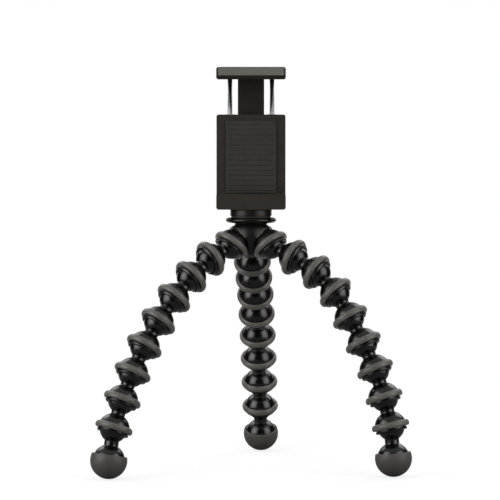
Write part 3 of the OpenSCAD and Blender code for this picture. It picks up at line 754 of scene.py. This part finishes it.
# Jaw pads
# Black rubber pads glued into both jaws, and a ribbed one on the housing, so that nothing slips in the
# clamp.
PAD_FRONT = 1.8
PAD_HALF = 16.0
PAD_LOW = 176.081
PAD_HIGH = 222.081
RIB_R = 0.7
RIB_SINK = 0.35
RIB_STEP = 3.2
RIB_END = 1.6
# Round ribs lie along X, one above the other
ribs_in_row, entry = new_tree("ribs_in_row", [
    ("Geometry", "Geometry"), ("Length", "Float"), ("Step", "Float"), ("Count", "Int"),
    ("Radius", "Float"), ("Finish", "Material")])
half = add(ribs_in_row, "ShaderNodeMath", {"operation": "MULTIPLY"}, {0: entry.outputs["Length"], 1: 0.5})
minus = add(ribs_in_row, "ShaderNodeMath", {"operation": "MULTIPLY"}, {0: entry.outputs["Length"], 1: -0.5})
from_end = add(ribs_in_row, "ShaderNodeCombineXYZ", {}, {"X": minus.outputs[0]})
to_end = add(ribs_in_row, "ShaderNodeCombineXYZ", {}, {"X": half.outputs[0]})
rib_line = add(ribs_in_row, "GeometryNodeCurvePrimitiveLine", {}, {
    "Start": from_end.outputs[0], "End": to_end.outputs[0]})
rib_round = add(ribs_in_row, "GeometryNodeCurvePrimitiveCircle", {}, {
    "Resolution": 14, "Radius": entry.outputs["Radius"]})
rib_body = add(ribs_in_row, "GeometryNodeCurveToMesh", {}, {
    "Curve": rib_line.outputs[0], "Profile Curve": rib_round.outputs[0], "Fill Caps": True})
up_step = add(ribs_in_row, "ShaderNodeCombineXYZ", {}, {"Z": entry.outputs["Step"]})
row = add(ribs_in_row, "GeometryNodeMeshLine", {}, {
    "Count": entry.outputs["Count"], "Offset": up_step.outputs[0]})
set_ribs = add(ribs_in_row, "GeometryNodeInstanceOnPoints", {}, {
    "Points": row.outputs[0], "Instance": rib_body.outputs[0]})
close_tree(ribs_in_row, set_ribs.outputs["Instances"], entry.outputs["Finish"])

for node in ("lower_jaw_pad", "upper_jaw_pad", "back_pad"):
    body = "upper_jaw" if node == "upper_jaw_pad" else "clamp"
    put(node + "_sheet", rounded(node, edge_mm=0.25), body, pad_rubber, [node])
rib_count = int((PAD_HIGH - PAD_LOW - 2 * RIB_END) / RIB_STEP) + 1
rib_start = (PAD_LOW + PAD_HIGH - (rib_count - 1) * RIB_STEP) / 2
rib_at = Matrix.Translation((0, (PAD_FRONT + RIB_SINK) * MM, rib_start * MM))
ribs = baked("back_pad_ribs", ribs_in_row, [(0, 0, 0)], [], {
    "Length": 2 * (PAD_HALF - RIB_END) * MM, "Step": RIB_STEP * MM, "Count": rib_count,
    "Radius": RIB_R * MM, "Finish": pad_rubber})
put("back_pad_ribs", moved(ribs, rib_at), "clamp", pad_rubber)

# Upper jaw
# Lip, bridge, heel and tongue in one dark ABS moulding that slides in the housing. A plate of grey
# soft-touch rubber is set into the front of its lip, with the dark bevel of the lip below it.
JAW_FRONT = -13.0
JAW_TOP = 256.181
PLATE_HALF = 20.9
PLATE_LOW = 250.75
PLATE_PROUD = 0.3
PLATE_SINK = 0.9
PLATE_DROP = 0.25


def block(low, high):
    """A box between two corners in millimetres."""
    mesh = bpy.data.meshes.new("block")
    corners = [
        (x * MM, y * MM, z * MM)
        for x in (low[0], high[0]) for y in (low[1], high[1]) for z in (low[2], high[2])]
    sides = [(0, 1, 3, 2), (4, 6, 7, 5), (0, 4, 5, 1), (2, 3, 7, 6), (0, 2, 6, 4), (1, 5, 7, 3)]
    mesh.from_pydata(corners, [], sides)
    return mesh


# Dark ABS from a fine-blasted mould: nearly black, with a dry, even sheen
upper_abs = moulded(
    "dark_abs_matte", "#171310", "#221e1a", roughness=0.48, grain_mm=0.35, depth_mm=0.01,
    patch_mm=10.0, ior=1.32)
jaw_mesh = rounded("upper_jaw", edge_mm=0.55)
put("upper_jaw_body", jaw_mesh, "upper_jaw", upper_abs, ["upper_jaw"])
# Soft-touch rubber: light grey and quite matte, its edges painted lighter as a painted highlight of the
# plate's bevels
soft_touch = moulded(
    "soft_touch_grey", "#54524b", "#65635b", roughness=0.55, grain_mm=0.35, depth_mm=0.01,
    patch_mm=12.0, edge_wear_and_highlight=0.8)
plate = block(
    (-PLATE_HALF, JAW_FRONT - PLATE_PROUD, PLATE_LOW),
    (PLATE_HALF, JAW_FRONT + PLATE_SINK, JAW_TOP - PLATE_DROP))
put("upper_jaw_plate", softened(plate, edge_mm=0.3), "upper_jaw", soft_touch)

# Guide rods, bushes, clips and springs
# Two ground steel rods hang from the upper jaw and run in white acetal bushes. A clip on each rod's end
# holds a coil spring that pulls the jaw down.
ROD_X = 13.4
ROD_Y = 9.3
ROD_R = 1.5
ROD_LOW = 191.081
ROD_HIGH = 255.131
ROD_CUT = 0.3
GUIDE_Z = 222.881
GUIDE_TOP = 226.081
BUSH_R = 2.5
BUSH_COLLAR = 0.5
BUSH_PROUD = 0.15
BUSH_CUT_R = 0.3
BUSH_CUT_H = 0.2
CLIP_T = 1.2
SPRING_R = 2.9
SPRING_WIRE = 0.7
SPRING_TURNS = 15
# Steel ground round: bright, smooth metal with hardly any grain
ground_steel = moulded(
    "ground_steel", "#8f9092", "#a0a1a3", roughness=0.24, grain_mm=0.4, depth_mm=0.0003,
    patch_mm=6.0, gloss_change=0.04, metallic=1.0)
# Acetal turned from bar: milky white and slightly waxy
acetal = moulded(
    "white_acetal", "#c4c0b6", "#d2cec4", roughness=0.42, grain_mm=0.5, depth_mm=0.003)
rod_side = [
    (0, ROD_LOW), (ROD_R - ROD_CUT, ROD_LOW), (ROD_R, ROD_LOW + ROD_CUT), (ROD_R, ROD_HIGH), (0, ROD_HIGH)]
bush_bore = ROD_R + SEAT_GAP
bush_side = [
    (bush_bore, GUIDE_Z), (BUSH_R, GUIDE_Z), (BUSH_R, GUIDE_TOP), (BUSH_R + BUSH_COLLAR, GUIDE_TOP),
    (BUSH_R + BUSH_COLLAR, GUIDE_TOP + BUSH_PROUD), (bush_bore + BUSH_CUT_R, GUIDE_TOP + BUSH_PROUD),
    (bush_bore, GUIDE_TOP - BUSH_CUT_H),
]
for label, outline, body, slot, material, node in (
    ("guide_rod", rod_side, "upper_jaw", "steel", ground_steel, "guide_rods"),
    ("rod_bush", bush_side, "clamp", "bush_plastic", acetal, "rod_bushes"),
):
    for end, x in (("left", -ROD_X), ("right", ROD_X)):
        at = Matrix.Translation((x * MM, ROD_Y * MM, 0))
        mesh = moved(turned(label + "_" + end, outline, steps=48), at)
        put(label + "_" + end, mesh, body, material, [node] if end == "left" else [])
finish("rod_clips", plated)

# A coil of wire stands on each point, wound up along Z
wound_coil, entry = new_tree("wound_coil", [
    ("Geometry", "Geometry"), ("Turns", "Float"), ("Radius", "Float"), ("Height", "Float"),
    ("Wire", "Float"), ("Finish", "Material")])
wire_path = add(wound_coil, "GeometryNodeCurveSpiral", {}, {
    "Resolution": 24, "Rotations": entry.outputs["Turns"], "Start Radius": entry.outputs["Radius"],
    "End Radius": entry.outputs["Radius"], "Height": entry.outputs["Height"]})
wire_round = add(wound_coil, "GeometryNodeCurvePrimitiveCircle", {}, {
    "Resolution": 8, "Radius": entry.outputs["Wire"]})
wire = add(wound_coil, "GeometryNodeCurveToMesh", {}, {
    "Curve": wire_path.outputs[0], "Profile Curve": wire_round.outputs[0], "Fill Caps": True})
set_coils = add(wound_coil, "GeometryNodeInstanceOnPoints", {}, {
    "Points": entry.outputs["Geometry"], "Instance": wire.outputs[0]})
close_tree(wound_coil, set_coils.outputs["Instances"], entry.outputs["Finish"])
coil_low = ROD_LOW + CLIP_T + SPRING_WIRE / 2 + SEAT_GAP
coil_high = GUIDE_Z - SPRING_WIRE / 2 - SEAT_GAP
coil_feet = [(x * MM, ROD_Y * MM, coil_low * MM) for x in (-ROD_X, ROD_X)]
coils = baked("jaw_spring_coils", wound_coil, coil_feet, [], {
    "Turns": float(SPRING_TURNS), "Radius": (SPRING_R - SPRING_WIRE / 2) * MM,
    "Height": (coil_high - coil_low) * MM, "Wire": SPRING_WIRE / 2 * MM, "Finish": plated})
springs = bpy.data.objects.new("jaw_spring_coils", coils)
bpy.context.scene.collection.objects.link(springs)
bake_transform(springs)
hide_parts("jaw_springs")

# Back cover and its screws
# ABS cover on the back of the housing, held by four plated screws with cross recesses, their heads let in
# flush. Two ears on it carry the lock lever.
COVER_BACK = 15.8
SCREW_X = 20.0
SCREW_LOW = 169.881
SCREW_HIGH = 222.081
SCREW_HEAD_R = 1.9
SCREW_HEAD_H = 1.1
SCREW_FLAT = 0.5
SCREW_ROUND = 0.3
SCREW_R = 1.1
SCREW_L = 7.0
SCREW_TIP = 0.6
CROSS_W = 0.55
CROSS_L = 2.3
CROSS_D = 0.75
put("cover_plate", rounded("back_cover", edge_mm=0.3), "clamp", base_abs, ["back_cover"])
screw_end = -SCREW_HEAD_H - SCREW_L
screw_side = (
    [(0, 0), (SCREW_HEAD_R - SCREW_FLAT, 0)]
    + arc(SCREW_HEAD_R - SCREW_ROUND, -SCREW_ROUND, SCREW_ROUND, 90, 0, count=6)
    + [(SCREW_HEAD_R, -SCREW_HEAD_H), (SCREW_R, -SCREW_HEAD_H)]
    + [(SCREW_R, screw_end + SCREW_TIP), (0, screw_end)]
)
cross = [
    block((-CROSS_L / 2, -CROSS_W / 2, -CROSS_D), (CROSS_L / 2, CROSS_W / 2, CUT_PAST)),
    block((-CROSS_W / 2, -CROSS_L / 2, -CROSS_D), (CROSS_W / 2, CROSS_L / 2, CUT_PAST)),
]
screw_mesh = carved(turned("screw", screw_side, steps=40), cross)
screw_mesh = softened(screw_mesh, edge_mm=0.06, sharp=40)
# A copy of a pattern mesh is set on each point and turned
set_on_points, entry = new_tree("set_on_points", [
    ("Geometry", "Geometry"), ("Pattern", "Object"), ("Turn", "Vector"), ("Finish", "Material")])
pattern_info = add(set_on_points, "GeometryNodeObjectInfo", {}, {"Object": entry.outputs["Pattern"]})
screws_set = add(set_on_points, "GeometryNodeInstanceOnPoints", {}, {
    "Points": entry.outputs["Geometry"], "Instance": pattern_info.outputs["Geometry"],
    "Rotation": entry.outputs["Turn"]})
close_tree(set_on_points, screws_set.outputs["Instances"], entry.outputs["Finish"])
screw_points = [
    (x * MM, COVER_BACK * MM, z * MM) for x in (-SCREW_X, SCREW_X) for z in (SCREW_LOW, SCREW_HIGH)]
screws = baked("cover_screw_set", set_on_points, screw_points, [], {
    "Turn": (math.radians(-90), 0.0, 0.0), "Finish": plated}, screw_mesh)
put("cover_screw_set", screws, "clamp", plated, ["cover_screws"])

# Lock lever, pin and brake shoe
# Flipping the ABS lever up turns its cam off the steel shoe, which frees the upper jaw. Ribs across the
# lever's end give the thumb a hold.
LEVER_Y = 19.0
LEVER_Z = 214.081
LEVER_L = 29.0
LEVER_T = 3.0
LEVER_HALF = 4.8
LEVER_RIBS = 5
LEVER_RIB_STEP = 1.9
LEVER_RIB_R = 0.5
LEVER_RIB_SIDE = 1.1
LEVER_RIB_SINK = 0.12
LEVER_RIB_START = 2.4
lever_mesh = rounded("lock_lever", edge_mm=0.4)
put("lock_lever_body", lever_mesh, "lock_lever", lock_abs, ["lock_lever"])
grips = baked("lock_lever_ribs", ribs_in_row, [(0, 0, 0)], [], {
    "Length": 2 * (LEVER_HALF - LEVER_RIB_SIDE) * MM, "Step": LEVER_RIB_STEP * MM, "Count": LEVER_RIBS,
    "Radius": LEVER_RIB_R * MM, "Finish": lock_abs})
grip_at = Matrix.Translation((
    0, (LEVER_Y + LEVER_T / 2 - LEVER_RIB_SINK) * MM, (LEVER_Z - LEVER_L + LEVER_RIB_START) * MM))
put("lock_lever_ribs", moved(grips, grip_at), "lock_lever", lock_abs)
finish("lever_pin", ground_steel)
finish("brake_shoe", black_steel)

# Table and room
# White paper on a small table, a white backdrop behind it and two tall soft boxes in a dim room in front.
# Two smaller lamps high behind light the back of the clamp. From here on sizes and places are in metres.
FLOOR_HALF = 0.42
floor_mesh = bpy.data.meshes.new("paper")
paper_corners = [(x * FLOOR_HALF, y * FLOOR_HALF, 0) for x, y in ((-1, -1), (1, -1), (1, 1), (-1, 1))]
floor_mesh.from_pydata(paper_corners, [], [(0, 1, 2, 3)])
floor = bpy.data.objects.new("paper", floor_mesh)
bpy.context.scene.collection.objects.link(floor)

# Uncoated paper: a dull white that takes soft shadows. What the camera sees of it brightens outwards into
# the backdrop, and what mirrors see of it brightens towards the back.
paper = bpy.data.materials.new("white_paper")
paper.use_nodes = True
tree = paper.node_tree
tree.nodes.clear()
rays = add(tree, "ShaderNodeLightPath", {}, {})
place = add(tree, "ShaderNodeTexCoord", {}, {})
spread = add(tree, "ShaderNodeVectorMath", {"operation": "LENGTH"}, {0: place.outputs["Object"]})
glow = add(tree, "ShaderNodeMapRange", {"interpolation_type": "SMOOTHSTEP"}, {
    "Value": spread.outputs["Value"], "From Min": 0.14, "From Max": 0.36, "To Min": 0.78, "To Max": 1.0})
split = add(tree, "ShaderNodeSeparateXYZ", {}, {0: place.outputs["Object"]})
behind = add(tree, "ShaderNodeMapRange", {"interpolation_type": "SMOOTHSTEP"}, {
    "Value": split.outputs["Y"], "From Min": 0.08, "From Max": 0.4, "To Min": 0.0, "To Max": 0.8})
mirror = add(tree, "ShaderNodeMath", {"operation": "MAXIMUM"}, {
    0: rays.outputs["Is Glossy Ray"], 1: rays.outputs["Is Transmission Ray"]})
for_camera = add(tree, "ShaderNodeMath", {"operation": "MULTIPLY"}, {
    0: rays.outputs["Is Camera Ray"], 1: glow.outputs["Result"]})
for_mirror = add(tree, "ShaderNodeMath", {"operation": "MULTIPLY"}, {
    0: mirror.outputs[0], 1: behind.outputs["Result"]})
light = add(tree, "ShaderNodeMath", {"operation": "ADD"}, {
    0: for_camera.outputs[0], 1: for_mirror.outputs[0]})
sheet = add(tree, "ShaderNodeBsdfDiffuse", {}, {"Color": linear("#8a8a8a")})
bright = add(tree, "ShaderNodeEmission", {}, {"Color": (1, 1, 1, 1), "Strength": light.outputs[0]})
both = add(tree, "ShaderNodeAddShader", {}, {0: sheet.outputs[0], 1: bright.outputs[0]})
add(tree, "ShaderNodeOutputMaterial", {}, {"Surface": both.outputs[0]})
floor_mesh.materials.append(paper)

# The room is bright behind the object and a little overhead, dark elsewhere, and white to the camera
world = bpy.data.worlds.new("studio")
bpy.context.scene.world = world
world.use_nodes = True
tree = world.node_tree
tree.nodes.clear()
rays = add(tree, "ShaderNodeLightPath", {}, {})
place = add(tree, "ShaderNodeTexCoord", {}, {})
split = add(tree, "ShaderNodeSeparateXYZ", {}, {0: place.outputs["Generated"]})
backdrop = add(tree, "ShaderNodeMapRange", {"interpolation_type": "SMOOTHSTEP"}, {
    "Value": split.outputs["Y"], "From Min": 0.72, "From Max": 0.97, "To Min": 0.02, "To Max": 1.0})
overhead = add(tree, "ShaderNodeMapRange", {"interpolation_type": "SMOOTHSTEP"}, {
    "Value": split.outputs["Z"], "From Min": 0.45, "From Max": 0.85, "To Min": 0.0, "To Max": 0.55})
room = add(tree, "ShaderNodeMath", {"operation": "MAXIMUM"}, {
    0: backdrop.outputs["Result"], 1: overhead.outputs["Result"]})
level = add(tree, "ShaderNodeMath", {"operation": "MAXIMUM"}, {
    0: room.outputs[0], 1: rays.outputs["Is Camera Ray"]})
sky = add(tree, "ShaderNodeBackground", {}, {"Color": (1, 1, 1, 1), "Strength": level.outputs[0]})
add(tree, "ShaderNodeOutputWorld", {}, {"Surface": sky.outputs[0]})


def soft_box(name, place, target, size, strength):
    """A rectangular lamp whose face shines with the given radiance."""
    data = bpy.data.lights.new(name, "AREA")
    data.shape = "RECTANGLE"
    data.size, data.size_y = size
    data.energy = strength * math.pi * size[0] * size[1]
    made = bpy.data.objects.new(name, data)
    bpy.context.scene.collection.objects.link(made)
    aim = (Vector(target) - Vector(place)).to_track_quat("-Z", "Y").to_matrix().to_4x4()
    made.matrix_world = Matrix.Translation(place) @ aim


# Each soft box has three layers, brighter to the middle. A layer has a name, then its width, height and
# rise in metres, and its strength.
BOX_LAYERS = (("cloth", 1.2, 1.6, 0.0, 1.1), ("middle", 0.85, 1.1, 0.08, 1.5), ("core", 0.5, 0.7, 0.14, 1.2))
BOX_X = 0.89
BOX_Y = -0.56
BOX_Z = 0.28
BOX_AIM = 0.2
for side, x, share in (("left", -BOX_X, 1.0), ("right", BOX_X, 0.76)):
    for layer, width, height, rise, strength in BOX_LAYERS:
        soft_box("soft_box_%s_%s" % (side, layer), (x, BOX_Y, BOX_Z + rise), (0, 0, BOX_AIM + rise),
                 (width, height), strength * share)

REAR_X = 0.65
REAR_Y = 0.72
REAR_Z = 0.95
REAR_AIM = 0.18
REAR_SIZE = 0.75
for side, x in (("left", -REAR_X), ("right", REAR_X)):
    soft_box("rim_light_" + side, (x, REAR_Y, REAR_Z), (0, 0, REAR_AIM), (REAR_SIZE, REAR_SIZE), strength=2.2)

# Camera
# A long lens at the height of the clamp, tilted slightly down, as the photograph was taken. Its focal
# length is given in pixels of a picture 500 pixels wide.
PITCH = math.radians(2.5)
DISTANCE = 2.02
FOCAL_PIXELS = 3169
PICTURE_WIDTH = 500
TARGET = Vector((-0.00063, 0, 0.1398))
forward = Vector((0, math.cos(PITCH), -math.sin(PITCH)))
lens = bpy.data.cameras.new("camera")
lens.sensor_fit = "HORIZONTAL"
lens.sensor_width = 36.0
lens.lens = lens.sensor_width * FOCAL_PIXELS / PICTURE_WIDTH
lens.clip_end = 20
camera = bpy.data.objects.new("camera", lens)
bpy.context.scene.collection.objects.link(camera)
look_forward = forward.to_track_quat("-Z", "Y").to_matrix().to_4x4()
camera.matrix_world = Matrix.Translation(TARGET - DISTANCE * forward) @ look_forward
bpy.context.scene.camera = camera
bpy.context.scene.view_settings.view_transform = "Standard"
